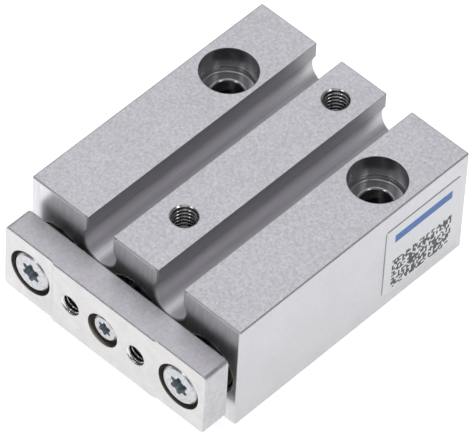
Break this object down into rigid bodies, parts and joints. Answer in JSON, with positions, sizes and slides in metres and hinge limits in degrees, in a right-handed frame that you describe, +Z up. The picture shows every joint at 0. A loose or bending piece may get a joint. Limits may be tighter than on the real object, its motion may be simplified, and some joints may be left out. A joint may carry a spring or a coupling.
{
  "type": "guided pneumatic cylinder",
  "caption": "Compact guided pneumatic cylinder: a slotted block housing with air ports, whose piston rod and guide rods carry a yoke plate through a short stroke.",
  "frame": {"origin": "middle of the housing's flat base", "axes": "+Y along the bores from the yoke plate to the rear of the housing, +Z up from the base to the slotted face, +X to the right seen from the yoke plate"},
  "size_m": [0.0284, 0.0373, 0.0142],
  "materials": {
    "anodised_aluminium": "fine matt, clear anodised",
    "plate_aluminium": "fine matt, clear anodised, bright machined edges",
    "cap_aluminium": "turned",
    "bush_bronze": "sintered, satin",
    "ground_steel": "ground and polished",
    "plated_screw": "bright zinc",
    "spring_steel": "phosphated",
    "seal_rubber": "matt",
    "cushion": "matt",
    "magnet": "sintered"
  },
  "bodies": {
    "housing": {"housing": "anodised_aluminium", "guide_bush_front_left": "bush_bronze", "guide_bush_front_right": "bush_bronze", "guide_bush_rear_left": "bush_bronze", "guide_bush_rear_right": "bush_bronze", "rod_bearing": "cap_aluminium", "rod_bearing_o_ring": "seal_rubber", "rod_seal": "seal_rubber", "front_cushion_ring": "cushion", "front_retaining_ring": "spring_steel", "rear_cushion_pad": "cushion", "rear_cap": "cap_aluminium", "rear_cap_o_ring": "seal_rubber", "rear_retaining_ring": "spring_steel"},
    "slide": {"yoke_plate": "plate_aluminium", "guide_rod_left": "ground_steel", "guide_rod_right": "ground_steel", "guide_rod_screw_left": "plated_screw", "guide_rod_screw_right": "plated_screw", "piston_rod": "ground_steel", "piston_rod_screw": "plated_screw", "piston_front": "cap_aluminium", "piston_rear": "cap_aluminium", "piston_magnet": "magnet", "piston_seal_front": "seal_rubber", "piston_seal_rear": "seal_rubber"}
  },
  "joints": [
    {"name": "stroke", "type": "slide", "parent": "housing", "child": "slide", "axis": [0, -1, 0], "range_m": [0, 0.01]}
  ]
}
